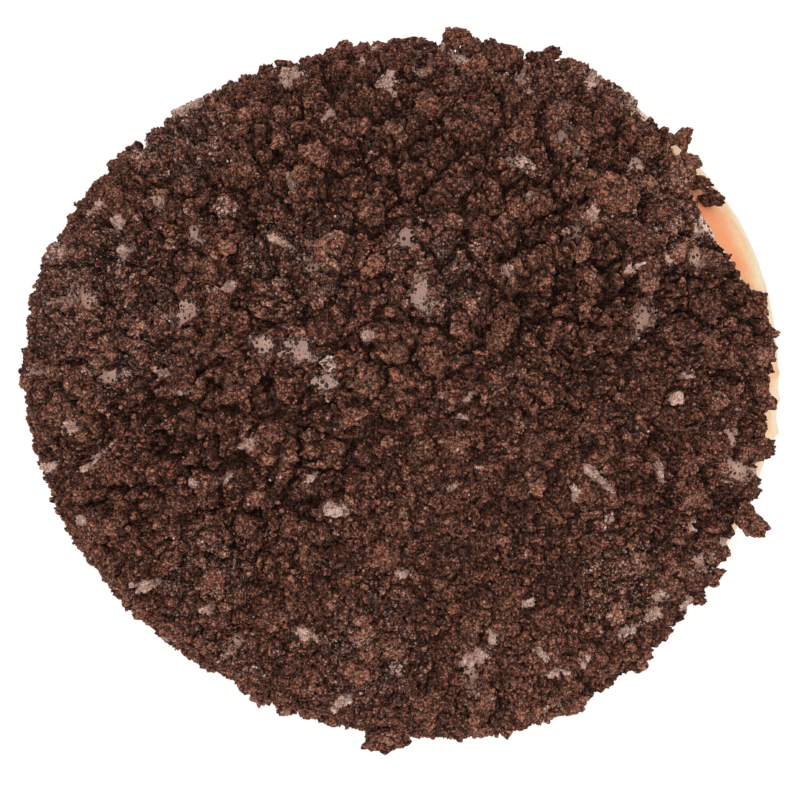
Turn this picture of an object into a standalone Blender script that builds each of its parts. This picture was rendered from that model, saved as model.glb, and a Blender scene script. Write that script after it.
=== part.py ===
"""Filled-shell doughnut, iced and coated with crushed chocolate biscuit crumbs.

Three solids lie on each other like skins: the fried dough, a cap of icing dipped over its
top, and the coat of crumbs out to its uneven outline. Metres, +Z up, the doughnut rests on
its flat base at z = 0 and its box is centred on the Z axis.
"""

from math import acos, atan2, cos, pi, radians, sin

import bmesh
import bpy
from mathutils import Vector, noise

# Dough: outline at the waist, seen from above
DOUGH_RADIUS = 0.0409
SIDE_SWELL = 0.0023
SIDE_SWELL_TURN = radians(16)
OVAL_SWELL = 0.0024
OVAL_TURN = radians(-2)
CORNER_SWELL = 0.0009
CORNER_TURN = radians(42)

# Dough: side view
WAIST_HEIGHT = 0.0158
CROWN_HEIGHT = 0.0192
BELLY_DEPTH = 0.0170
CROWN_SQUARENESS = 2.35
BELLY_SQUARENESS = 2.5

# Icing: how far down it was dipped, as an angle from the crown, and where it stopped short
ICING_REACH = radians(93)
SIDE_GAP = radians(22)
SIDE_GAP_TURN = radians(-3)
SIDE_GAP_WIDTH = radians(90)
BARE_SPOT = radians(15)
BARE_SPOT_TURN = radians(31)
BARE_SPOT_WIDTH = radians(26)
ICING_THICKNESS = 0.0012

# Crumb coat
CRUMB_THICKNESS = 0.0020
CRUMB_LUMP = 0.0017
LUMP_SIZE = 0.0062
GRAVEL_SIZE = 0.0034
CRUMB_SHORT_OF_ICING = radians(2.5)

LAYER_GAP = 0.0003
RIM_THICKNESS = 0.0002
NORMAL_STEP = radians(0.5)

AROUND = 50
DOUGH_RINGS = 24
ICING_RINGS = 20
CRUMB_SUBDIVISIONS = 5


def waist_radius(turn):
    """Outline of the dough: rounder than an egg, fuller on one side, faintly three-cornered."""
    side = SIDE_SWELL * cos(turn - SIDE_SWELL_TURN)
    oval = OVAL_SWELL * cos(2 * (turn - OVAL_TURN))
    corners = CORNER_SWELL * cos(3 * (turn - CORNER_TURN))
    return DOUGH_RADIUS + side + oval + corners


def rounded(value, squareness):
    """Sine or cosine of a superellipse: keeps its sign, and is fuller than a circle's."""
    return abs(value) ** (2 / squareness) * (1 if value >= 0 else -1)


def dough_point(turn, fall):
    """Point of the dough's skin, at `turn` round it and `fall` down from the crown."""
    squareness = CROWN_SQUARENESS if fall <= pi / 2 else BELLY_SQUARENESS
    rise = CROWN_HEIGHT if fall <= pi / 2 else BELLY_DEPTH
    reach = waist_radius(turn) * rounded(sin(fall), squareness)
    height = WAIST_HEIGHT + rise * rounded(cos(fall), squareness)
    return Vector((reach * cos(turn), reach * sin(turn), max(height, 0)))


def skin_point(turn, fall, lift):
    """Point that stands `lift` off the dough, square to its skin."""
    place = dough_point(turn, fall)
    if fall < NORMAL_STEP:
        return place + Vector((0, 0, lift))
    down = dough_point(turn, fall + NORMAL_STEP) - dough_point(turn, fall - NORMAL_STEP)
    along = dough_point(turn + NORMAL_STEP, fall) - dough_point(turn - NORMAL_STEP, fall)
    return place + down.cross(along).normalized() * lift


def bell(turn, centre, width):
    """1 at `centre`, falling smoothly to 0 at `width` either side of it."""
    off = abs((turn - centre + pi) % (2 * pi) - pi)
    return 0.5 * (1 + cos(pi * off / width)) if off < width else 0


def icing_edge(turn):
    """How far down from the crown the icing comes: less on the side that it was not dipped."""
    side = SIDE_GAP * bell(turn, SIDE_GAP_TURN, SIDE_GAP_WIDTH)
    bare = BARE_SPOT * bell(turn, BARE_SPOT_TURN, BARE_SPOT_WIDTH)
    return ICING_REACH - side - bare


def crumb_edge(turn):
    return icing_edge(turn) - CRUMB_SHORT_OF_ICING


def icing_thickness(turn, fall):
    return ICING_THICKNESS


def crumb_thickness(turn, fall):
    """Uneven depth of the coat: lumps as wide as the clumps, with gravel between them."""
    place = dough_point(turn, fall)
    lumps = noise.noise(place / LUMP_SIZE)
    gravel = noise.noise(place / GRAVEL_SIZE + Vector((5, 3, 1)))
    return CRUMB_THICKNESS + CRUMB_LUMP * (lumps + 0.7 * gravel)


def ball_coordinates(vertex):
    """Turn round the pole, and share of the way from the top pole to the bottom one."""
    direction = vertex.co.normalized()
    return atan2(direction.y, direction.x), acos(max(-1, min(1, direction.z))) / pi


def smooth_object(name, mesh_builder, material):
    mesh = bpy.data.meshes.new(name)
    mesh_builder.to_mesh(mesh)
    mesh_builder.free()
    mesh.shade_smooth()
    mesh.set_sharp_from_angle(angle=radians(50))
    mesh.materials.append(material)
    piece = bpy.data.objects.new(name, mesh)
    bpy.context.collection.objects.link(piece)
    return piece


def ringed_ball(rings):
    ball = bmesh.new()
    bmesh.ops.create_uvsphere(ball, u_segments=AROUND, v_segments=rings, radius=1)
    return ball


def even_ball():
    """Ball of equal triangles, which has an edge loop on its equator too."""
    ball = bmesh.new()
    bmesh.ops.create_icosphere(ball, subdivisions=CRUMB_SUBDIVISIONS, radius=1)
    return ball


def make_dough(material):
    """A ball, pressed into the doughnut's form: crown, waist, belly and flat base."""
    ball = ringed_ball(DOUGH_RINGS)
    for vertex in ball.verts:
        turn, share = ball_coordinates(vertex)
        vertex.co = dough_point(turn, share * pi)
    return smooth_object("dough", ball, material)


def make_skin(name, ball, edge, floor, thickness, material):
    """A ball folded into a cap: its upper half is the outside, its lower half the inside.

    `edge(turn)` is where the cap ends, `floor` its inner face's distance from the dough, and
    `thickness(turn, fall)` its depth, which thins to a lip at the edge.
    """
    for vertex in ball.verts:
        turn, share = ball_coordinates(vertex)
        way_down = 1 - abs(1 - 2 * share)
        fall = way_down * edge(turn)
        lift = floor
        if share <= 0.5 + 1e-4:
            lip = (1 - way_down ** 8) ** 0.5
            lift += RIM_THICKNESS + lip * (thickness(turn, fall) - RIM_THICKNESS)
        vertex.co = skin_point(turn, fall, lift)
    return smooth_object(name, ball, material)


def make_material(name, colour, roughness):
    material = bpy.data.materials.new(name)
    material.use_nodes = True
    shader = material.node_tree.nodes["Principled BSDF"]
    shader.inputs["Base Color"].default_value = (*colour, 1)
    shader.inputs["Roughness"].default_value = roughness
    shader.inputs["Metallic"].default_value = 0
    material.diffuse_color = (*colour, 1)
    return material


def centre_on_origin(pieces):
    """Slide all pieces together until the box round them is centred on the Z axis."""
    corners = [vertex.co for piece in pieces for vertex in piece.data.vertices]
    middle = Vector((0, 0, 0))
    for axis in (0, 1):
        lows_and_highs = [corner[axis] for corner in corners]
        middle[axis] = (min(lows_and_highs) + max(lows_and_highs)) / 2
    for piece in pieces:
        for vertex in piece.data.vertices:
            vertex.co -= middle


def main():
    for old in list(bpy.data.objects):
        bpy.data.objects.remove(old, do_unlink=True)
    crust = make_material("fried dough", (0.72, 0.31, 0.11), 0.55)
    sugar = make_material("icing", (0.40, 0.27, 0.22), 0.30)
    cocoa = make_material("chocolate crumb", (0.069, 0.031, 0.022), 0.85)
    icing_floor = LAYER_GAP
    crumb_floor = icing_floor + ICING_THICKNESS + LAYER_GAP
    icing_ball = ringed_ball(ICING_RINGS)
    pieces = [
        make_dough(crust),
        make_skin("icing", icing_ball, icing_edge, icing_floor, icing_thickness, sugar),
        make_skin("crumb_coat", even_ball(), crumb_edge, crumb_floor, crumb_thickness, cocoa),
    ]
    centre_on_origin(pieces)


main()
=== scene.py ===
from math import pi, radians, tau

import bmesh
import bpy
import numpy as np
from mathutils import Matrix, Vector, noise


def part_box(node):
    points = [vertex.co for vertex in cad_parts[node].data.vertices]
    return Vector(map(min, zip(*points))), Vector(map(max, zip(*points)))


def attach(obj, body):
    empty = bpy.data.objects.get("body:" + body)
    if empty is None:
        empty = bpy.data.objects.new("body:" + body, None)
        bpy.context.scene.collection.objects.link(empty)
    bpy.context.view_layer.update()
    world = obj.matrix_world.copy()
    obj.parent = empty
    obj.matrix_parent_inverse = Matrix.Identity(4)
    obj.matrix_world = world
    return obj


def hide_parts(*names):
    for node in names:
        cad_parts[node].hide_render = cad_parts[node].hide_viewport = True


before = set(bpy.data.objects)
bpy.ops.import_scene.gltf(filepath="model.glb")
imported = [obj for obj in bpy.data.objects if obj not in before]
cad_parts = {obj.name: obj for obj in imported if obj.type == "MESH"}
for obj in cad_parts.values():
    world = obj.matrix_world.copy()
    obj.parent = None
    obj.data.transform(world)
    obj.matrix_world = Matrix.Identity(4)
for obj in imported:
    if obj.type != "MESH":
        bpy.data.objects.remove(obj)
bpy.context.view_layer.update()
mm = 0.001

# the doughnut's form, the same as the solids'
form = {
    "radius": 40.9 * mm,
    "sideSwell": 2.3 * mm, "sideTurn": radians(16),
    "ovalSwell": 2.4 * mm, "ovalTurn": radians(-2),
    "cornerSwell": 0.9 * mm, "cornerTurn": radians(42),
    "waist": 15.8 * mm, "belly": 17.0 * mm,
    "crownSquareness": 2.35, "bellySquareness": 2.5,
    "icingReach": radians(93),
    "sideGap": radians(22), "sideGapTurn": radians(-3), "sideGapWidth": radians(90),
    "bareSpot": radians(15), "bareSpotTurn": radians(31), "bareSpotWidth": radians(26),
}
doughLow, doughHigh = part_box("dough")
form["crown"] = doughHigh.z - form["waist"]


def waistRadius(turn):
    side = form["sideSwell"] * np.cos(turn - form["sideTurn"])
    oval = form["ovalSwell"] * np.cos(2 * (turn - form["ovalTurn"]))
    corners = form["cornerSwell"] * np.cos(3 * (turn - form["cornerTurn"]))
    return form["radius"] + side + oval + corners


def centreOfForm():
    turn = np.linspace(0, tau, 720)
    outline = waistRadius(turn)[:, None] * np.stack([np.cos(turn), np.sin(turn)], 1)
    own = (outline.min(0) + outline.max(0)) / 2
    packed = (np.array(doughLow) + np.array(doughHigh))[:2] / 2
    return packed - own


centre = centreOfForm()


def rounded(value, squareness):  # sine or cosine of a superellipse
    return np.sign(value) * np.abs(value) ** (2 / squareness)


def doughPoint(turn, fall):  # fall is the angle down from the crown
    upper = fall <= pi / 2
    squareness = np.where(upper, form["crownSquareness"], form["bellySquareness"])
    rise = np.where(upper, form["crown"], form["belly"])
    reach = waistRadius(turn) * rounded(np.sin(fall), squareness)
    height = form["waist"] + rise * rounded(np.cos(fall), squareness)
    return np.stack([centre[0] + reach * np.cos(turn),
                     centre[1] + reach * np.sin(turn), np.maximum(height, 0)], -1)


def skinNormal(turn, fall):
    step = radians(0.5)
    fall = np.clip(fall, 1.1 * step, pi - 1.1 * step)
    down = doughPoint(turn, fall + step) - doughPoint(turn, fall - step)
    along = doughPoint(turn + step, fall) - doughPoint(turn - step, fall)
    normal = np.cross(down, along)
    return normal / np.linalg.norm(normal, axis=1)[:, None]


def skinPoint(turn, fall, lift):
    return doughPoint(turn, fall) + skinNormal(turn, fall) * np.reshape(lift, (-1, 1))


def bell(turn, middle, width):
    off = np.abs((turn - middle + pi) % tau - pi)
    return np.where(off < width, 0.5 + 0.5 * np.cos(pi * np.minimum(off / width, 1)), 0)


def icingEdge(turn):
    side = form["sideGap"] * bell(turn, form["sideGapTurn"], form["sideGapWidth"])
    bare = form["bareSpot"] * bell(turn, form["bareSpotTurn"], form["bareSpotWidth"])
    return form["icingReach"] - side - bare


def smoothStep(low, high, value):
    share = np.clip((value - low) / (high - low), 0, 1)
    return share * share * (3 - 2 * share)


def noiseAt(places, size, seed=0):
    shifted = places / size + 7.3 * seed
    return np.array([noise.noise(place) for place in shifted.tolist()])


def cellsAt(places, size, seed=0):
    # how far the nearest and the next seed point are, and a random value of the cell's own
    found = [noise.voronoi(place) for place in (places / size + 11.7 * seed).tolist()]
    near, after = np.array([distances[:2] for distances, seeds in found]).T
    seeds = np.array([seeds[0] for distances, seeds in found])
    own = np.sin(seeds @ (12.9898, 78.233, 37.719)) * 43758.5453
    return near, after, own - np.floor(own)


def zoneAt(places, spots):  # 1 in the middle of round spots seen from above, 0 beyond them
    above = places[:, :2] / mm
    most = np.zeros(len(places))
    for x, y, reach in spots:
        away = np.hypot(above[:, 0] - x, above[:, 1] - y) / reach
        most = np.maximum(most, 1 - smoothStep(0.45, 1.1, away))
    return most


def roundFrom(above):  # where a spot seen from above lies on the crown
    offset = np.asarray(above, float) - centre
    turn = np.arctan2(offset[..., 1], offset[..., 0])
    share = np.linalg.norm(offset, axis=-1) / waistRadius(turn)
    squareness = form["crownSquareness"]
    fall = np.arcsin(np.clip(share, 0, 1) ** (squareness / 2))
    return turn, fall


def seatUnder(above, height):  # the spot on the skin that carries what stands there, so high
    guess = np.array(above, float)
    for _ in range(8):
        turn, fall = roundFrom(guess)
        guess += above - skinPoint(turn, fall, height)[:, :2]
    return roundFrom(guess)


def readPoints(mesh):
    found = np.empty(len(mesh.vertices) * 3, np.float32)
    mesh.vertices.foreach_get("co", found)
    return found.reshape(-1, 3).astype(float)


def writePoints(mesh, places):
    mesh.vertices.foreach_set("co", places.astype(np.float32).ravel())
    mesh.update()


def keepValue(mesh, name, values):
    attribute = mesh.attributes.new(name, "FLOAT", "POINT")
    attribute.data.foreach_set("value", np.asarray(values, np.float32))


def meshFrom(builder, name):
    mesh = bpy.data.meshes.new(name)
    builder.to_mesh(mesh)
    builder.free()
    return mesh


def showPiece(name, mesh, material, nodes=()):
    mesh.shade_smooth()
    mesh.materials.append(material)
    piece = bpy.data.objects.new(name, mesh)
    bpy.context.collection.objects.link(piece)
    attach(piece, "root")
    if nodes:
        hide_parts(*nodes)
    print(name, len(mesh.polygons), "faces")
    return piece


def evenBall(name, cuts):  # a ball of even squares, for the dough
    builder = bmesh.new()
    bmesh.ops.create_cube(builder, size=2)
    bmesh.ops.subdivide_edges(builder, edges=builder.edges[:], cuts=cuts, use_grid_fill=True)
    mesh = meshFrom(builder, name)
    places = np.tan(readPoints(mesh) * pi / 4)
    places /= np.linalg.norm(places, axis=1)[:, None]
    return mesh, np.arctan2(places[:, 1], places[:, 0]), np.arccos(np.clip(places[:, 2], -1, 1))


def capSheet(name, divisions, quarter=None):
    # a square grid drawn round into a disc, then closed under its rim down to one point
    builder = bmesh.new()
    bmesh.ops.create_grid(builder, x_segments=divisions, y_segments=divisions, size=1)
    if quarter:
        bmesh.ops.scale(builder, vec=(0.5, 0.5, 1), verts=builder.verts)
        bmesh.ops.translate(builder, vec=(0.5 * quarter[0], 0.5 * quarter[1], 0), verts=builder.verts)
    rim = [edge for edge in builder.edges if edge.is_boundary]
    for edge in rim:
        edge.smooth = False
    for depth in (2, 3):
        made = bmesh.ops.extrude_edge_only(builder, edges=rim)["geom"]
        for corner in (item for item in made if isinstance(item, bmesh.types.BMVert)):
            corner.co.z = -depth
        rim = [item for item in made if isinstance(item, bmesh.types.BMEdge)]
    lowest = [corner for corner in builder.verts if corner.co.z < -2.5]
    bmesh.ops.pointmerge(builder, verts=lowest, merge_co=(0, 0, -3))
    mesh = meshFrom(builder, name)
    across, along, depth = readPoints(mesh).T
    wide = np.abs(across) > np.abs(along)
    longer = np.where(wide, across, along)
    shorter = np.where(wide, along, across)
    swing = pi / 4 * shorter / np.where(longer == 0, 1, longer)
    swing = np.where(wide, swing, pi / 2 - swing)
    return mesh, swing + np.where(longer < 0, pi, 0), np.abs(longer), depth


def drapeCap(mesh, turn, fall, lift, depth):
    # the sheet lies on the skin, its rim turns in under it and closes inside the dough
    places = skinPoint(turn, fall, lift)
    tucked = depth < -1.5
    inside = np.maximum(fall[tucked] - radians(1.5), 0)
    places[tucked] = skinPoint(turn[tucked], inside, -1.5 * mm)
    places[depth < -2.5] = (*centre, form["waist"])
    writePoints(mesh, places)
    return places


class Wire:  # a socket that can be added, multiplied and so on, as a number can
    def __init__(self, paint, socket):
        self.paint, self.socket = paint, socket

    def sum(self, how, one, two):
        made = self.paint.node("ShaderNodeMath", {"operation": how}, {0: one, 1: two})
        return Wire(self.paint, made.outputs[0])

    def __add__(self, other):
        return self.sum("ADD", self, other)

    def __radd__(self, other):
        return self.sum("ADD", other, self)

    def __sub__(self, other):
        return self.sum("SUBTRACT", self, other)

    def __rsub__(self, other):
        return self.sum("SUBTRACT", other, self)

    def __mul__(self, other):
        return self.sum("MULTIPLY", self, other)

    def __rmul__(self, other):
        return self.sum("MULTIPLY", other, self)

    def __truediv__(self, other):
        return self.sum("DIVIDE", self, other)

    def __pow__(self, other):
        return self.sum("POWER", self, other)


class Paint:
    def __init__(self, name):
        self.material = bpy.data.materials.new(name)
        self.material.use_nodes = True
        self.tree = self.material.node_tree
        self.shader = self.tree.nodes["Principled BSDF"]
        self.place = Wire(self, self.node("ShaderNodeTexCoord").outputs["Object"])

    def node(self, kind, settings=None, inputs=None):
        made = self.tree.nodes.new(kind)
        for key, value in (settings or {}).items():
            setattr(made, key, value)
        for key, value in (inputs or {}).items():
            self.feed(made.inputs[key], value)
        return made

    def feed(self, socket, value):
        if isinstance(value, Wire):
            self.tree.links.new(value.socket, socket)
        else:
            socket.default_value = value

    def kept(self, name):  # a value that the mesh carries
        made = self.node("ShaderNodeAttribute", {"attribute_name": name})
        return Wire(self, made.outputs["Fac"])

    def cloud(self, size, detail=2, rough=0.5, warp=0.0):
        made = self.node("ShaderNodeTexNoise", None, {
            "Vector": self.place, "Scale": 1 / size, "Detail": detail,
            "Roughness": rough, "Distortion": warp})
        return Wire(self, made.outputs["Fac"])

    def grains(self, size, feature="F1"):  # how far a grain's middle is, and the node itself
        made = self.node("ShaderNodeTexVoronoi", {"feature": feature}, {
            "Vector": self.place, "Scale": 1 / size})
        return Wire(self, made.outputs["Distance"]), made

    def ownShade(self, cells, draw=0):  # a random value of each grain's own
        made = self.node("ShaderNodeSeparateColor", None, {0: Wire(self, cells.outputs["Color"])})
        return Wire(self, made.outputs[draw])

    def step(self, value, low, high, bottom=0.0, top=1.0):
        made = self.node("ShaderNodeMapRange", {"interpolation_type": "SMOOTHSTEP"}, {
            "Value": value, "From Min": low, "From Max": high, "To Min": bottom, "To Max": top})
        return Wire(self, made.outputs["Result"])

    def mix(self, share, one, two):
        made = self.node("ShaderNodeMix", {"data_type": "RGBA"}, {0: share, 6: one, 7: two})
        return Wire(self, made.outputs[2])

    def bump(self, height, distance, strength):
        made = self.node("ShaderNodeBump", None, {
            "Height": height, "Distance": distance, "Strength": strength})
        self.feed(self.shader.inputs["Normal"], Wire(self, made.outputs["Normal"]))

    def set(self, **values):
        for key, value in values.items():
            self.feed(self.shader.inputs[key.replace("_", " ")], value)


def tint(red, green, blue):  # a colour as the screen shows it, made linear
    parts = np.array([red, green, blue]) / 255
    linear = np.where(parts <= 0.04045, parts / 12.92, ((parts + 0.055) / 1.055) ** 2.4)
    return (*linear.tolist(), 1)


# the darkest and the lit brown are grain tones, partly own colour and partly painted shade and light; the
# near-black is painted shade in gaps, pores and crevices; the near-white is icing and sugar flecks,
# partly painted glints
crumbLook = {
    "dark": tint(66, 41, 33), "cake": tint(122, 77, 62), "lit": tint(190, 130, 106),
    "rust": tint(168, 88, 62), "ash": tint(112, 90, 80), "shell": tint(92, 72, 63),
    "poreAndCreviceShade": tint(14, 7, 6), "sugar": tint(240, 226, 220), "film": tint(232, 194, 178),
    "grain": 0.30 * mm, "stone": 0.62 * mm, "gravel": 1.7 * mm, "pores": 0.5 * mm,
    "speckle": 0.18 * mm, "smear": 2.2 * mm, "fleck": 0.42 * mm, "fleckPatch": 3.0 * mm,
}


def makeCrumbFinish(name, look=crumbLook):
    paint = Paint(name)
    tone, glaze, deep = paint.kept("tone"), paint.kept("glaze"), paint.kept("deep")
    grain, grains = paint.grains(look["grain"])
    stone, stones = paint.grains(look["stone"])
    fleck, flecks = paint.grains(look["fleck"])
    own, rare, warm = (paint.ownShade(grains, draw) for draw in (0, 1, 2))
    speckle = paint.cloud(look["speckle"], detail=1)
    pores = paint.cloud(look["pores"], detail=3, rough=0.7)
    gravel = paint.cloud(look["gravel"], detail=2)
    # every grain has its own brown between dark and lit, partly its own tone and partly painted light and
    # shade on grains too small for the mesh; some are rusty and some ashen
    shade = 0.75 * own + 0.3 * paint.ownShade(stones) + 1.5 * (speckle - 0.5) + 0.5 * (gravel - 0.5)
    shade = shade + 0.5 * tone - 0.26
    colour = paint.mix(paint.step(shade, 0.1, 0.5), look["dark"], look["cake"])
    colour = paint.mix(paint.step(tone, 0.78, 0.9) * 0.6, colour, look["shell"])
    colour = paint.mix(paint.step(warm, 0.72, 0.8) * paint.step(shade, 0.2, 0.6), colour, look["rust"])
    colour = paint.mix(paint.step(warm, 0.28, 0.2) * paint.step(shade, 0.2, 0.6), colour, look["ash"])
    colour = paint.mix(paint.step(shade, 0.5, 1.0), colour, look["lit"])
    # painted shade: near-black in the gaps between grains, in the pores, and in the crevices and
    # undersides that the mesh carries as deep
    grainGapShade = paint.step(grain + 0.3 * (speckle - 0.5), 0.46, 0.7) * paint.step(stone, 0.2, 0.6, 0.3, 1.0)
    poreShade = paint.step(pores, 0.35, 0.46, 1.0, 0.0)
    colour = paint.mix(0.8 * grainGapShade, colour, look["poreAndCreviceShade"])
    colour = paint.mix(0.85 * poreShade, colour, look["poreAndCreviceShade"])
    colour = paint.mix(0.72 * paint.step(deep + 0.4 * (speckle - 0.5), 0.15, 1.0), colour, look["poreAndCreviceShade"])
    # a ragged film of icing, and single near-white flecks of icing and sugar that are partly painted
    # glints, none in the painted crevice shade
    smear = paint.cloud(look["smear"], detail=4, rough=0.65)
    veil = glaze + 1.1 * (smear - 0.5) + 0.6 * (own - 0.5) + 1.2 * (speckle - 0.5)
    filmed = paint.step(veil, 0.45, 1.05) * (1 - 0.6 * poreShade) * (1 - 0.5 * grainGapShade)
    colour = paint.mix(filmed * 0.85, colour, look["film"])
    patch = paint.step(paint.cloud(look["fleckPatch"], detail=2) + 0.35 * (glaze - 0.3), 0.42, 0.62)
    chosen = paint.step(paint.ownShade(flecks), 0.93, 0.95) * paint.step(fleck, 0.5, 0.25)
    fleckAndPaintedGlint = chosen * patch * (1 - deep)
    colour = paint.mix(fleckAndPaintedGlint * 0.85, colour, look["sugar"])
    paint.set(Base_Color=colour, Roughness=0.8 - 0.3 * filmed - 0.3 * fleckAndPaintedGlint,
              Specular_IOR_Level=0.09)
    paint.bump(pores * 0.8 - grain * 0.7 - stone * 0.5, 0.2 * mm, 1.0)
    return paint.material


icingLook = {
    "milk": tint(244, 200, 180), "taupe": tint(200, 158, 139), "dust": tint(82, 54, 44),
    "pale": tint(238, 216, 206),
    "broad": 6 * mm, "cloudy": 1.6 * mm, "patchy": 1.4 * mm, "uneven": 1.1 * mm,
    "speck": 0.5 * mm, "powder": 0.25 * mm,
}


def makeIcingFinish(name, look=icingLook):
    paint = Paint(name)
    broad = paint.cloud(look["broad"], detail=3, rough=0.6)
    cloudy = paint.cloud(look["cloudy"], detail=3)
    patchy = paint.cloud(look["patchy"], detail=3, rough=0.6)
    colour = paint.mix(paint.step(broad + 0.4 * (cloudy - 0.5), 0.35, 0.65), look["taupe"], look["milk"])
    colour = paint.mix(paint.kept("rim"), colour, look["pale"])
    fleck, flecks = paint.grains(look["speck"])
    dust, dusts = paint.grains(look["powder"])
    dusty = paint.step(paint.kept("bare") + 1.3 * (patchy - 0.5), 0.75, 0.0)
    specks = paint.step(0.7 * paint.ownShade(flecks) - fleck - 0.1 + 0.15 * dusty, 0.0, 0.08)
    powder = paint.step(0.62 * paint.ownShade(dusts) - dust, 0.0, 0.1) * paint.step(dusty, 0.05, 0.8, 0.3)
    dirt = 1 - (1 - specks) * (1 - 0.85 * powder)
    colour = paint.mix(dirt, colour, look["dust"])
    paint.set(Base_Color=colour, Roughness=paint.step(cloudy, 0.3, 0.7, 0.2, 0.4) + 0.35 * dirt,
              Subsurface_Weight=0.12, Subsurface_Scale=0.0015, Specular_IOR_Level=0.3)
    paint.bump(paint.cloud(look["uneven"], detail=2) + 0.5 * specks, 0.12 * mm, 0.4)
    return paint.material


doughLook = {
    "cream": tint(252, 230, 196), "butter": tint(250, 206, 156), "orange": tint(250, 160, 106),
    "deep": tint(226, 116, 60), "brown": tint(170, 90, 44), "rose": tint(232, 176, 150),
    "broad": 9 * mm, "small": 1.8 * mm, "streak": 4 * mm, "blister": 0.9 * mm,
}


def makeDoughFinish(name, look=doughLook):
    paint = Paint(name)
    browned, belly = paint.kept("browned"), paint.kept("belly")
    broad = paint.cloud(look["broad"], detail=3, rough=0.55)
    small = paint.cloud(look["small"], detail=4, rough=0.6)
    streak = paint.cloud(look["streak"], detail=3, warp=0.4)
    fried = browned + 0.34 * (broad - 0.5) + 0.24 * (small - 0.5) + 0.3 * (streak - 0.5)
    colour = paint.mix(paint.step(fried, 0.04, 0.3), look["cream"], look["butter"])
    colour = paint.mix(paint.step(streak, 0.45, 0.75) * 0.3, colour, look["rose"])
    colour = paint.mix(paint.step(fried, 0.2, 0.55), colour, look["orange"])
    colour = paint.mix(paint.step(fried, 0.6, 1.05) * 0.9, colour, look["deep"])
    colour = paint.mix(belly * paint.step(broad, 0.3, 0.7, 0.35, 0.85), colour, look["brown"])
    blister = paint.grains(look["blister"], "SMOOTH_F1")[0]
    paint.set(Base_Color=colour, Roughness=paint.step(small, 0.3, 0.7, 0.38, 0.58),
              Subsurface_Weight=0.15, Subsurface_Scale=0.002)
    paint.bump(small * 0.7 - blister * 0.5, 0.15 * mm, 0.4)
    return paint.material


crumbFinish = makeCrumbFinish("chocolateCrumb")
icingFinish = makeIcingFinish("dustedIcing")
doughFinish = makeDoughFinish("friedDough")
print("finishes made")

dough = {
    "cuts": 90, "swellSize": 15 * mm, "swell": 0.45 * mm, "blisterSize": 2.2 * mm,
    "blister": 0.09 * mm, "wrinkleSize": 1.3 * mm, "wrinkle": 0.06 * mm,
    "waistAbove": radians(45), "waistBelow": radians(34),
    "points": [  # pulled tips at the rim: turn, fall, how far they stand out, how wide
        (radians(-6.3), radians(84), 1.1 * mm, 1.4 * mm),
        (radians(14), radians(80), 0.8 * mm, 1.0 * mm),
        (radians(2.5), radians(82), 0.6 * mm, 0.9 * mm),
        (radians(-1.5), radians(86), 0.5 * mm, 0.8 * mm),
    ],
}


def makeDough(recipe=dough):
    mesh, turn, fall = evenBall("friedShell", recipe["cuts"])
    even = doughPoint(turn, fall)
    lift = recipe["swell"] * noiseAt(even, recipe["swellSize"], 1)
    lift += recipe["blister"] * noiseAt(even, recipe["blisterSize"], 2)
    pressed = even * np.array([1, 1, 2.6])
    lift += recipe["wrinkle"] * noiseAt(pressed, recipe["wrinkleSize"], 3)
    lift *= smoothStep(0, 3 * mm, even[:, 2])
    for tipTurn, tipFall, height, width in recipe["points"]:
        tip = doughPoint(np.array([tipTurn]), np.array([tipFall]))
        near = np.linalg.norm(even - tip, axis=1) / width
        lift += height * np.exp(-1.6 * near)
    writePoints(mesh, skinPoint(turn, fall, lift))
    width = np.where(fall < radians(92), recipe["waistAbove"], recipe["waistBelow"])
    waist = bell(fall, radians(92), width)
    keepValue(mesh, "browned", 1 - waist)
    keepValue(mesh, "belly", smoothStep(radians(112), radians(150), fall))
    return showPiece("dough_shell", mesh, doughFinish, ["dough"])


makeDough()

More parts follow.
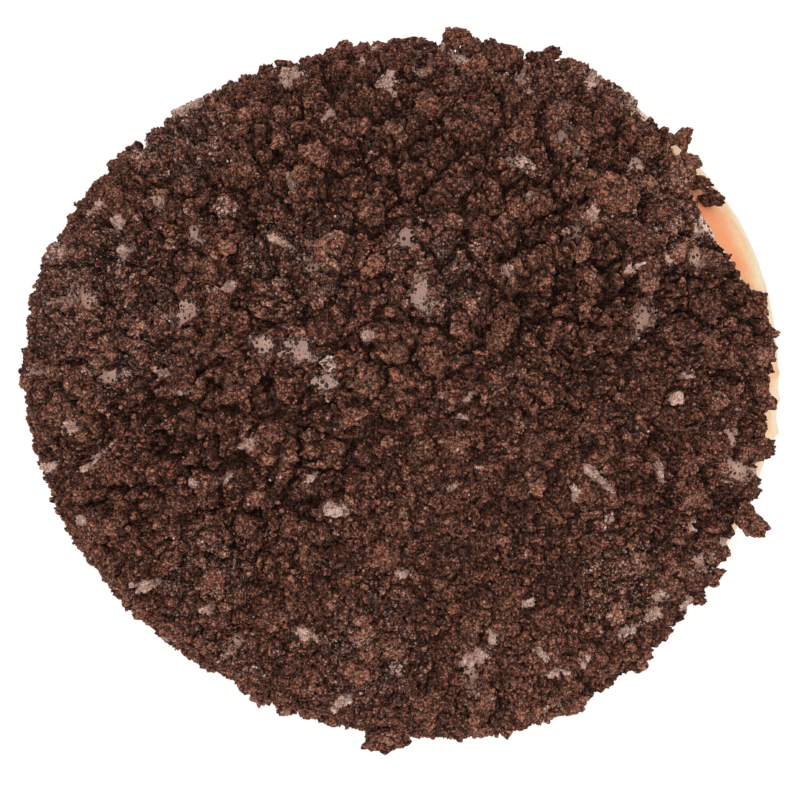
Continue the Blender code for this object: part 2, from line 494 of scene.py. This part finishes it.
icing = {
    "divisions": 200, "lift": 1.35 * mm, "swell": 0.16 * mm, "swellSize": 4.5 * mm,
    "bead": 0.25 * mm, "edgeWave": radians(1.6),
    "pools": [  # bare icing seen from above, in mm: place, half length, half width, turn in degrees
        (6.9, 39.0, 2.2, 1.1, -25), (2.6, 36.9, 1.1, 1.0, 0), (11.5, 36.5, 0.9, 1.2, 0),
        (15.1, 38.1, 0.9, 1.2, 0), (14.8, 34.4, 1.4, 1.0, -50), (22.5, 35.3, 2.0, 0.9, -15),
        (19.7, 32.9, 1.1, 1.1, 0), (27.6, 32.3, 1.8, 1.0, -40), (18.8, 29.2, 1.0, 1.5, 0),
        (27.4, 25.9, 1.4, 0.9, 40), (37.5, 19.8, 1.5, 1.2, -50), (40.2, 13.6, 2.0, 1.0, -70),
        (13.0, 25.9, 0.8, 1.1, 20), (28.0, 8.1, 2.0, 0.8, 62), (38.7, -5.9, 1.8, 0.8, -65),
        (39.0, -9.3, 1.8, 1.2, -10), (2.5, 10.8, 1.3, 2.0, 10), (0.8, 17.3, 1.1, 1.3, 0),
        (-12.0, 4.5, 2.2, 1.2, -12), (-8.8, 0.7, 1.4, 0.9, 0), (-15.8, 4.9, 1.1, 1.2, 0),
        (-33.4, 1.4, 1.7, 0.9, 10), (-40.8, 2.1, 1.2, 0.9, 0), (-29.7, 27.7, 2.0, 0.9, 100),
        (-36.4, 10.3, 1.3, 1.8, 20), (-23.6, 17.9, 1.6, 0.8, -68), (-24.5, 8.7, 1.2, 1.7, -20),
        (-22.7, 27.1, 1.0, 0.9, 0), (-18.9, -29.3, 1.3, 0.8, 50), (8.1, -33.4, 1.3, 1.0, 0),
        (34.4, -20.0, 1.8, 0.8, 25), (16.8, -37.1, 1.5, 0.8, 10), (-10.0, 14.2, 1.1, 0.8, 0),
        (20.3, 18.2, 0.9, 0.9, 0), (34.1, 15.2, 1.3, 0.8, 70),
    ],
    "smears": [  # icing wiped thin over the crumbs, given in the same way
        (-24.4, 32.6, 3.4, 0.6, 30), (-12.9, 35.9, 1.7, 0.8, -10), (-20.7, 11.4, 1.4, 0.6, 15),
        (-3.6, 5.9, 0.7, 0.8, 0), (-24.3, 0.1, 1.4, 0.7, 20), (-27.0, 1.9, 0.9, 0.6, 0),
        (-2.5, 38.1, 1.0, 0.5, 0), (-4.5, 36.4, 0.7, 0.6, 0), (-1.3, 34.7, 1.0, 0.5, 40),
        (-12.3, 23.4, 0.6, 0.9, 0), (-8.2, 31.0, 1.3, 0.4, 55), (-13.3, 16.5, 1.3, 0.4, -20),
        (-7.6, 17.3, 1.0, 0.4, 50), (-8.4, 3.0, 0.7, 0.6, 0), (-32.2, 18.6, 1.0, 0.5, 30),
        (-34.3, 20.3, 1.3, 0.6, 20), (-38.3, 15.2, 1.1, 0.9, 60), (-7.4, -13.7, 1.3, 0.8, -20),
        (-24.5, -11.1, 1.4, 0.6, 25), (-20.0, -10.2, 0.9, 0.4, 40), (-36.1, -14.8, 0.9, 0.6, 0),
        (-29.1, -22.1, 1.5, 0.6, 0), (-26.1, -27.6, 0.9, 0.5, 50), (-10.8, -27.8, 1.5, 0.5, -20),
        (0.2, -21.2, 0.9, 0.4, 0), (-6.8, -35.8, 1.3, 0.5, 40), (-40.2, -8.7, 0.9, 0.6, 0),
        (-34.9, -8.1, 2.6, 0.4, 40), (-37.0, -4.1, 1.0, 0.8, 0), (-17.2, -6.2, 0.9, 0.6, 0),
        (-10.2, -10.2, 0.8, 0.4, 40), (-21.8, -24.8, 0.7, 0.6, 0), (7.8, -1.0, 1.1, 0.4, 50),
        (6.9, -3.2, 0.7, 0.4, 0), (31.7, -1.0, 1.0, 0.6, 0), (41.6, -9.3, 1.3, 0.5, 0),
        (29.8, -9.3, 1.3, 0.45, -70), (21.9, -9.6, 1.0, 0.5, -50), (23.7, -11.1, 1.7, 0.4, -50),
        (20.2, -12.3, 0.5, 0.9, 0), (24.0, -14.9, 0.6, 0.4, 40), (33.6, -15.1, 0.9, 0.4, 45),
        (38.0, -17.6, 1.1, 0.5, 0), (29.7, -23.6, 0.8, 0.7, 0), (29.2, -26.1, 1.0, 0.6, 20),
        (26.5, -27.4, 1.5, 0.4, 10), (33.4, -25.0, 0.8, 0.5, 30), (14.9, -24.4, 0.7, 0.5, 0),
        (10.6, -28.5, 0.5, 1.1, 0), (8.7, -30.7, 1.7, 0.9, 10), (16.4, -30.2, 1.0, 0.4, -30),
        (18.2, -31.9, 1.1, 0.5, 20), (21.4, -31.3, 0.6, 1.0, 0), (6.0, -11.3, 0.6, 0.3, 20),
        (9.1, -9.0, 0.5, 0.4, 0), (35.0, 18.4, 1.2, 0.6, 20), (30.6, 14.6, 0.9, 0.5, -40),
        (26.3, 13.6, 1.1, 0.4, 20), (12.2, 13.6, 1.2, 0.5, -35), (14.9, 22.0, 0.8, 0.4, 60),
        (21.9, 19.8, 0.6, 0.8, 0), (20.3, 26.8, 0.8, 0.6, 0), (-31.5, 15.4, 1.2, 0.5, 45),
        (-27.6, 21.2, 0.8, 0.7, 0), (-19.2, 20.6, 0.6, 0.5, 0), (33.0, 1.6, 0.6, 0.4, 0),
    ],
}


def spotsAt(places, spots, seed):  # 1 in the middle of ragged ellipses, 0 at their edge, then less
    above = places[:, :2] / mm
    ragged = noiseAt(places, 1.7 * mm, seed) * 0.6 + noiseAt(places, 0.7 * mm, seed + 1) * 0.45
    most = np.full(len(places), -1.0)
    for x, y, halfLength, halfWidth, degrees in spots:
        off = above - (x, y)
        lean = radians(degrees)
        along = (off[:, 0] * np.cos(lean) + off[:, 1] * np.sin(lean)) / halfLength
        across = (off[:, 1] * np.cos(lean) - off[:, 0] * np.sin(lean)) / halfWidth
        most = np.maximum(most, 1 - np.hypot(along, across))
    return most + ragged * np.where(most > -0.9, 1, 0)


def bareness(places):
    return spotsAt(places, icing["pools"], 4)


def makeIcing(recipe=icing):
    mesh, turn, reach, depth = capSheet("icingCap", recipe["divisions"])
    around = np.stack([np.cos(turn), np.sin(turn), np.zeros_like(turn)], 1)
    wave = noiseAt(around, 0.16, 6) + 0.5 * noiseAt(around, 0.05, 7)
    edge = icingEdge(turn) + recipe["edgeWave"] * wave
    fall = reach * edge
    flat = doughPoint(turn, fall)
    lift = recipe["lift"] + recipe["swell"] * noiseAt(flat, recipe["swellSize"], 8)
    lift += recipe["bead"] * smoothStep(0.9, 0.965, reach) + 0.05 * mm * noiseAt(flat, 1.2 * mm, 9)
    lift *= np.sqrt(np.clip(1 - reach ** 40, 0, 1))
    drapeCap(mesh, turn, fall, lift - 0.25 * mm * (reach > 0.999), depth)
    keepValue(mesh, "rim", smoothStep(0.93, 0.99, reach) * 0.8)
    keepValue(mesh, "bare", bareness(flat))
    return showPiece("icing_cap", mesh, icingFinish, ["icing"])


makeIcing()

# the bed of packed crumbs, draped over the icing in four quarters
bed = {
    "divisions": 296, "shortOfIcing": radians(1.0), "base": 1.25 * mm, "warp": 0.9 * mm, "jag": 0.3 * mm,
    "clump": 5.2 * mm, "clumpHeight": 1.6 * mm, "lump": 2.7 * mm, "lumpHeight": 1.15 * mm,
    "gravel": 1.25 * mm, "gravelHeight": 0.5 * mm, "grain": 0.55 * mm, "grainHeight": 0.26 * mm,
    "clumpCrevice": 0.12, "lumpCrevice": 0.17, "gravelCrevice": 0.28, "grainCrevice": 0.5,
    "swellSize": 9 * mm, "swell": 0.35 * mm, "poolDip": 3.4 * mm, "thinDip": 0.6 * mm,
    "fineRise": 0.5 * mm, "edgeWave": radians(2.2), "rimLift": 0.6 * mm,
    "fine": [(13, -17, 24), (-8, -28, 14), (28, -4, 12)],  # from above, in mm: place, reach
    "thin": [(9, 36.5, 4.5), (20, 34, 6), (21.5, 30.5, 4), (31, 28, 7), (38, 16, 7),
             (39.5, -8, 4), (38, -18.7, 2.5), (30, -26, 3), (20, -33, 4)],
    "slim": 0.45,
    "smeared": [(-34, 10, 13), (-26, 29, 9), (-12, 14, 9), (-3, -30, 8), (26, -22, 8),
                (4, 14, 8), (32, 20, 9), (-22, -20, 7)],
}


def reliefAt(bent, size, seed, crevice):
    # lumps with crevices between them: their height, how deep in a crevice, a value of their own
    near, after, own = cellsAt(bent, size, seed)
    opened = smoothStep(0.0, crevice, after - near)
    return opened * (0.6 + 0.6 * own - 0.3 * near ** 2), 1 - opened, own


def makeBed(name, quarter, nodes, recipe=bed):
    mesh, turn, reach, depth = capSheet("crumbBed", recipe["divisions"], quarter)
    around = np.stack([np.cos(turn), np.sin(turn), np.zeros_like(turn)], 1)
    edge = icingEdge(turn) - recipe["shortOfIcing"]
    edge -= recipe["edgeWave"] * (0.5 + noiseAt(around, 0.07, 10) + 0.6 * noiseAt(around, 0.03, 11))
    fall = reach * edge
    flat = skinPoint(turn, fall, recipe["base"])
    bent = flat + recipe["warp"] * np.stack([noiseAt(flat, 1.7 * mm, s) for s in (12, 13, 14)], 1)
    bent += recipe["jag"] * np.stack([noiseAt(flat, 0.6 * mm, s) for s in (22, 23, 24)], 1)
    clumps, clumpGap, clumpOwn = reliefAt(bent, recipe["clump"], 15, recipe["clumpCrevice"])
    lumps, lumpGap, lumpOwn = reliefAt(bent, recipe["lump"], 16, recipe["lumpCrevice"])
    gravel, gravelGap, gravelOwn = reliefAt(bent, recipe["gravel"], 17, recipe["gravelCrevice"])
    grains, grainGap = reliefAt(flat, recipe["grain"], 20, recipe["grainCrevice"])[:2]
    fine, thin = zoneAt(flat, recipe["fine"]), zoneAt(flat, recipe["thin"])
    relief = recipe["clumpHeight"] * clumps * (1 - 0.75 * fine)
    relief += recipe["lumpHeight"] * lumps * (1 - 0.35 * fine)
    relief += recipe["gravelHeight"] * gravel * (1 + 0.5 * fine)
    relief *= 1 - recipe["slim"] * smoothStep(0.7, 0.92, reach) * (1 - 0.6 * thin)
    relief += recipe["grainHeight"] * grains
    lift = recipe["base"] + relief + recipe["fineRise"] * fine
    lift += recipe["swell"] * noiseAt(flat, recipe["swellSize"], 18) - recipe["thinDip"] * thin
    bare = bareness(flat)
    lift -= recipe["poolDip"] * smoothStep(-0.1, 0.2, bare)
    lift -= (lift - recipe["rimLift"]) * smoothStep(0.965, 1.0, reach)
    places = drapeCap(mesh, turn, fall, lift, depth)
    opened = (1 - 0.9 * clumpGap * (1 - 0.6 * fine)) * (1 - 0.7 * lumpGap) * (1 - 0.4 * gravelGap)
    smeared = zoneAt(flat, recipe["smeared"])
    streaks = 0.55 + 1.3 * noiseAt(flat, 1.6 * mm, 21)
    wiped = smoothStep(-0.45, 0.35, spotsAt(flat, icing["smears"], 25))
    glaze = np.maximum(smoothStep(-0.9, 0.15, bare) * streaks, 0.34 * smeared) * 0.85 + 0.06
    glaze = np.maximum(glaze, 1.25 * wiped)
    keepValue(mesh, "tone", 0.45 * lumpOwn + 0.3 * clumpOwn + 0.25 * gravelOwn)
    # deep is painted shade: darkest in the crevices between clumps, lumps, gravel and grains, none in the
    # icing pools and wiped smears
    deep = (1 - opened * (1 - 0.5 * grainGap)) * (1 - smoothStep(-0.3, 0.05, bare)) * (1 - wiped)
    keepValue(mesh, "deep", deep)
    keepValue(mesh, "glaze", glaze)
    showPiece(name, mesh, crumbFinish, nodes)
    corners = np.array([face.vertices[:] for face in mesh.polygons if len(face.vertices) == 4])
    corners = corners[(depth[corners] > -0.5).all(1)]
    return corners, places, turn, fall, bare, opened, glaze


def joinBeds(beds):  # what the loose crumbs have to know of the ground that they lie on
    start, corners = 0, []
    for part in beds:
        corners.append(part[0] + start)
        start += len(part[1])
    return [np.concatenate(corners)] + [np.concatenate(rows) for rows in list(zip(*beds))[1:]]


quarters = [(1, 1), (-1, 1), (-1, -1), (1, -1)]
beds = [makeBed(f"crumb_bed_{number + 1}", quarter, ["crumb_coat"])
        for number, quarter in enumerate(quarters)]
bedCorners, bedPlaces, bedTurn, bedFall, bedBare, bedOpen, bedGlaze = joinBeds(beds)

# loose crumbs that lie on the bed: sizes are widths in mm
kinds = {
    "nugget": {"shapes": 38, "subdivisions": 5, "planes": 8,
               "soft": 12, "lumpy": 0.38, "grainy": 0.14, "sink": 0.30},
    "clump": {"shapes": 16, "subdivisions": 4, "size": (2.2, 4.0), "count": 120, "planes": 8,
              "soft": 12, "lumpy": 0.48, "grainy": 0.15, "sink": 0.6,
              "apart": 0.85, "bareLimit": -0.25, "lowest": 0.5},
    "gravel": {"shapes": 24, "subdivisions": 3, "size": (1.0, 2.3), "count": 420, "planes": 7,
               "soft": 14, "lumpy": 0.5, "grainy": 0.0, "sink": 0.6,
               "apart": 0.75, "bareLimit": -0.1, "lowest": 0.8},
    "crumb": {"shapes": 16, "subdivisions": 2, "size": (0.5, 1.1), "count": 1700, "planes": 6,
              "soft": 14, "lumpy": 0.5, "grainy": 0.0, "sink": 0.45,
              "apart": 0, "bareLimit": 0.1, "lowest": 0.8},
    "grit": {"shapes": 10, "subdivisions": 1, "size": (0.25, 0.55), "count": 6500, "planes": 5,
             "soft": 12, "lumpy": 0.25, "grainy": 0.0, "sink": 0.2,
             "apart": 0, "bareLimit": 0.45, "lowest": 0.7},
}
placed = [  # the largest crumbs, from above, in mm: place, half length, half width, turn, outwards
    (12.8, 38.6, 2.1, 2.0, 0, 1.0), (16.0, 39.1, 1.1, 1.0, 0, 0.9), (17.9, 39.7, 1.3, 1.1, 0, 1.1),
    (18.3, 36.2, 2.7, 2.2, 10, 0.8), (20.2, 38.0, 1.9, 1.7, 0, 0.6), (6.6, 41.4, 1.7, 1.6, 40, 1.2),
    (8.6, 40.2, 1.5, 1.1, -50, 0.8), (0.4, 39.8, 3.2, 1.8, 8, 1.0), (9.0, 37.6, 1.3, 2.1, 0, 0.9),
    (6.6, 35.4, 2.4, 1.6, 0, 0.6), (3.5, 32.8, 2.0, 2.3, 0, 0.8), (8.6, 31.2, 1.9, 1.8, 0, 0.8),
    (14.0, 29.2, 2.2, 2.0, 0, 0.8), (14.0, 33.2, 1.2, 1.8, 0, 0.8), (18.2, 32.4, 1.8, 1.6, 0, 0.7),
    (21.7, 34.0, 1.2, 1.1, 0, 0.8), (24.2, 32.8, 1.8, 1.0, -10, 0.7), (24.6, 36.0, 1.6, 0.8, -30, 0.8),
    (27.2, 33.4, 0.9, 0.8, 60, 1.2), (33.9, 30.1, 2.1, 1.1, 62, 0.7), (31.8, 29.6, 1.5, 1.0, -8, 0.9),
    (33.4, 26.6, 1.7, 1.6, 0, 1.2), (29.4, 28.4, 1.5, 1.3, 0, 0.9), (24.5, 22.8, 3.0, 2.3, -20, 0.9),
    (29.3, 23.6, 1.5, 1.7, 0, 0.8), (29.8, 20.3, 1.9, 1.3, 0, 0.9), (36.7, 22.4, 1.5, 1.6, 0, 1.0),
    (35.2, 24.2, 1.5, 1.2, 0, 0.9), (27.6, 17.8, 2.7, 2.0, -30, 0.8), (43.0, 6.6, 1.5, 1.1, -15, 0.9),
    (42.0, 11.0, 0.9, 0.8, 0, 0.6), (42.4, 4.1, 1.5, 1.4, 0, 0.8), (42.2, -0.2, 1.1, 1.4, 0, 0.6),
    (41.6, -7.3, 2.2, 1.6, 5, 0.9), (36.7, -6.7, 1.9, 1.7, 0, 0.8), (41.2, -10.9, 1.2, 1.0, 0, 0.9),
    (41.0, -15.2, 2.7, 2.0, -25, 1.1), (43.0, -16.2, 0.9, 0.7, 0, 1.0), (37.6, -19.4, 1.3, 1.5, 0, 1.0),
    (36.6, -22.4, 1.9, 1.3, 10, 1.1), (35.7, -25.0, 1.0, 1.0, 0, 1.2), (31.4, -29.2, 1.0, 0.9, 0, 1.4),
    (17.2, -39.0, 2.2, 2.1, 0, 2.0), (20.6, -36.8, 1.8, 1.6, 30, 1.4), (-1.9, -41.0, 3.0, 1.9, 8, 1.8),
    (-17.6, -33.8, 2.1, 1.9, 0, 1.6), (-27.4, -28.4, 2.2, 1.6, -20, 1.4), (-3.4, 0.4, 2.0, 1.8, 0, 0.9),
]


def brokenShape(dice, kind):
    # a ball cut down towards a few random planes, then crumbled: a piece of broken biscuit
    builder = bmesh.new()
    bmesh.ops.create_icosphere(builder, subdivisions=kind["subdivisions"], radius=1)
    bmesh.ops.rotate(builder, verts=builder.verts, cent=(0, 0, 0),
                     matrix=Matrix.Rotation(dice.uniform(0, tau), 3, Vector(dice.normal(size=3))))
    mesh = meshFrom(builder, "shape")
    rays = readPoints(mesh)
    faces = np.array([face.vertices[:] for face in mesh.polygons])
    bpy.data.meshes.remove(mesh)
    planes = dice.normal(size=(kind["planes"], 3))
    planes /= np.linalg.norm(planes, axis=1)[:, None]
    away = dice.uniform(0.55, 0.95, kind["planes"])
    lean = np.maximum(rays @ planes.T / away, 0)
    cut = (1 + (lean ** kind["soft"]).sum(1)) ** (-1 / kind["soft"])
    places = rays * cut[:, None]
    seed = dice.uniform(0, 90)
    cut *= 1 + kind["lumpy"] * noiseAt(places, 0.55, seed)
    # pits: how far down a crevice between grains, carried on as painted shade
    pits = np.zeros(len(rays))
    if kind["grainy"]:
        for size, share in ((0.42, 1.0), (0.21, 0.55)):
            near, after, own = cellsAt(places, size, seed + size)
            opened = smoothStep(0.0, 0.4, after - near)
            cut *= 1 + share * kind["grainy"] * (opened * (0.8 + 0.7 * own - 0.6 * near ** 2) - 0.5)
            pits = np.maximum(pits, share * 0.8 * (1 - opened))
    stretch = dice.uniform([0.95, 0.8, 0.7], [1.2, 1.05, 0.9])
    return rays * cut[:, None] * stretch, faces, pits


def sitOn(normal, spin):  # turns a crumb's own up to the skin's normal
    upright = Vector(normal).to_track_quat("Z", "Y")
    return np.array((upright.to_matrix() @ Matrix.Rotation(spin, 3, "Z")))


def scatterSpots(dice, kind, taken):
    # random spots on the bed, weighed by area, that keep clear of the crumbs already taken
    flat = skinPoint(bedTurn, bedFall, 0)
    crossing = np.cross(flat[bedCorners[:, 2]] - flat[bedCorners[:, 0]],
                        flat[bedCorners[:, 3]] - flat[bedCorners[:, 1]])
    areas = np.linalg.norm(crossing, axis=1)
    tries = kind["count"] * 6
    chosen = dice.choice(len(bedCorners), tries, p=areas / areas.sum())
    small, large = kind["size"]
    radii = 0.5 * mm * (small + (large - small) * dice.random(tries) ** 1.7)
    lowness = dice.random(tries) ** 2 * kind["lowest"]
    spots = []
    for index, radius, low in zip(bedCorners[chosen, 0], radii, lowness):
        if bedBare[index] > kind["bareLimit"] or bedOpen[index] < low:
            continue
        place = bedPlaces[index]
        if kind["apart"]:
            if not taken.free(place, radius, kind["apart"]):
                continue
            taken.add(place, radius)
        spots.append((index, radius))
        if len(spots) == kind["count"]:
            break
    return spots


class Crowd:  # crumbs placed so far, kept by cell, so that the next one finds room
    def __init__(self, cell):
        self.cell, self.cells = cell, {}

    def key(self, place):
        return tuple(int(part // self.cell) for part in place)

    def add(self, place, radius):
        self.cells.setdefault(self.key(place), []).append((place, radius))

    def free(self, place, radius, apart):
        x, y, z = self.key(place)
        for dx in (-1, 0, 1):
            for dy in (-1, 0, 1):
                for dz in (-1, 0, 1):
                    for other, size in self.cells.get((x + dx, y + dy, z + dz), ()):
                        if np.linalg.norm(place - other) < apart * (radius + size):
                            return False
        return True


def joinCrumbs(name, shapes, spots):
    # spots: place, turn matrix, scale on its three axes, outwards, tone, glaze
    kept = {"tone": [], "glaze": [], "deep": []}
    allPlaces, allFaces, start = [], [], 0
    for number, (place, turned, scale, normal, tone, glaze) in enumerate(spots):
        points, faces, pits = shapes[number % len(shapes)]
        moved = (points * scale) @ turned.T
        allPlaces.append(moved + place)
        allFaces.append(faces + start)
        kept["tone"].append(np.full(len(points), tone))
        kept["glaze"].append(np.full(len(points), glaze))
        # deep is painted shade: darker towards the underside of each crumb, where it lies on the bed, and
        # in the pits between its grains
        under = 1 - smoothStep(-0.9, 0.1, moved @ normal / np.mean(scale))
        kept["deep"].append(np.maximum(0.55 * under, 0.7 * pits))
        start += len(points)
    mesh = bpy.data.meshes.new(name)
    mesh.from_pydata(np.concatenate(allPlaces).tolist(), [], np.concatenate(allFaces).tolist())
    for key, values in kept.items():
        keepValue(mesh, key, np.concatenate(values))
    return showPiece(name, mesh, crumbFinish, ())


def placedCrumbs(dice):  # no crumb stands so high that it loses touch with what is under it
    spots = []
    for x, y, halfLength, halfWidth, degrees, outwards in placed:
        above = np.array([[x, y]]) * mm
        thin = 0.9 * min(halfLength, halfWidth)
        turn, fall = roundFrom(above)
        coated = (fall < icingEdge(turn))[0]
        highest = 0.7 * thin + (1.2 if coated else 0)
        height = min(outwards * (halfLength + halfWidth) / 2, highest) * mm
        height += icing["lift"] * coated
        turn, fall = seatUnder(above, height)
        ground = skinPoint(turn, fall, height)[0]
        turned = np.array(Matrix.Rotation(radians(degrees), 3, "Z"))
        scale = np.array([halfLength, halfWidth, thin]) * mm
        spots.append((ground, turned, scale, skinNormal(turn, fall)[0],
                      dice.uniform(0.2, 1.0), dice.uniform(0, 0.25)))
    return spots


def scattered(dice, kind, taken):
    spots = []
    for index, radius in scatterSpots(dice, kind, taken):
        normal = skinNormal(bedTurn[index:index + 1], bedFall[index:index + 1])[0]
        place = bedPlaces[index] + normal * radius * (0.5 - kind["sink"])
        tilt = Vector(normal) + 0.5 * Vector(dice.normal(size=3))
        turned = sitOn(tilt.normalized(), dice.uniform(0, tau))
        scale = radius * dice.uniform(0.85, 1.2, 3)
        glaze = min(1, max(0, 0.8 * bedGlaze[index] + dice.uniform(-0.2, 0.2)))
        spots.append((place, turned, scale, normal, dice.random(), glaze))
    return spots


def makeCrumbs():
    dice = np.random.default_rng(20)
    taken = Crowd(4.5 * mm)
    heroes = placedCrumbs(dice)
    for place, turned, scale, *rest in heroes:
        taken.add(place, scale.max())
    shapes = {name: [brokenShape(dice, kind) for _ in range(kind["shapes"])]
              for name, kind in kinds.items()}
    print("crumb shapes made")
    largest = kinds["nugget"]["shapes"]
    clumps, gravel, crumbs, grit = (scattered(dice, kinds[name], taken)
                                    for name in ("clump", "gravel", "crumb", "grit"))
    joinCrumbs("crumb_nuggets", shapes["nugget"], heroes[:largest])
    joinCrumbs("crumb_clumps", shapes["clump"], heroes[largest:] + clumps)
    joinCrumbs("crumb_gravel", shapes["gravel"], gravel)
    joinCrumbs("crumb_small", shapes["crumb"], crumbs)
    joinCrumbs("crumb_grit", shapes["grit"], grit)


makeCrumbs()

studio = {
    "floorSize": 4.0, "floorShine": 0.80, "sky": 0.88, "distance": 0.9, "lens": 340,
    "lamps": [  # name, place, width, power
        ("key", (-0.03, 0.16, 1.25), 0.7, 3.4),
        ("fill", (0.1, -0.65, 0.3), 0.4, 0.9),
    ],
}


def makeStudio(recipe=studio):
    builder = bmesh.new()
    bmesh.ops.create_grid(builder, x_segments=1, y_segments=1, size=recipe["floorSize"] / 2)
    floor = bpy.data.objects.new("floor", meshFrom(builder, "floor"))
    bpy.context.collection.objects.link(floor)
    paint = Paint("paleFloor")
    ray = paint.node("ShaderNodeLightPath")
    paint.set(Base_Color=(0.8, 0.8, 0.8, 1), Roughness=0.9)
    seen = Wire(paint, ray.outputs["Is Camera Ray"])
    plain = paint.node("ShaderNodeEmission", None, {"Strength": recipe["floorShine"]})
    pale = paint.node("ShaderNodeBsdfDiffuse", None, {"Color": (0.25, 0.25, 0.25, 1)})
    both = paint.node("ShaderNodeAddShader", None, {
        0: Wire(paint, plain.outputs[0]), 1: Wire(paint, pale.outputs[0])})
    chosen = paint.node("ShaderNodeMixShader", None, {
        0: seen, 1: Wire(paint, paint.shader.outputs[0]), 2: Wire(paint, both.outputs[0])})
    out = paint.tree.nodes["Material Output"]
    paint.feed(out.inputs["Surface"], Wire(paint, chosen.outputs[0]))
    floor.data.materials.append(paint.material)

    world = bpy.data.worlds.new("studio")
    bpy.context.scene.world = world
    world.use_nodes = True
    world.node_tree.nodes["Background"].inputs["Color"].default_value = (1, 1, 1, 1)
    world.node_tree.nodes["Background"].inputs["Strength"].default_value = recipe["sky"]

    for name, place, size, power in recipe["lamps"]:
        lamp = bpy.data.lights.new(name, "AREA")
        lamp.energy, lamp.size = power, size
        holder = bpy.data.objects.new(name, lamp)
        holder.location = place
        holder.rotation_euler = (-Vector(place)).to_track_quat("-Z", "Y").to_euler()
        bpy.context.collection.objects.link(holder)

    camera = bpy.data.cameras.new("camera")
    camera.lens, camera.sensor_width = recipe["lens"], 36
    eye = bpy.data.objects.new("camera", camera)
    eye.location = (0, -1.3 * mm, form["waist"] + recipe["distance"])
    bpy.context.collection.objects.link(eye)
    bpy.context.scene.camera = eye
    bpy.context.scene.view_settings.view_transform = "Standard"


makeStudio()
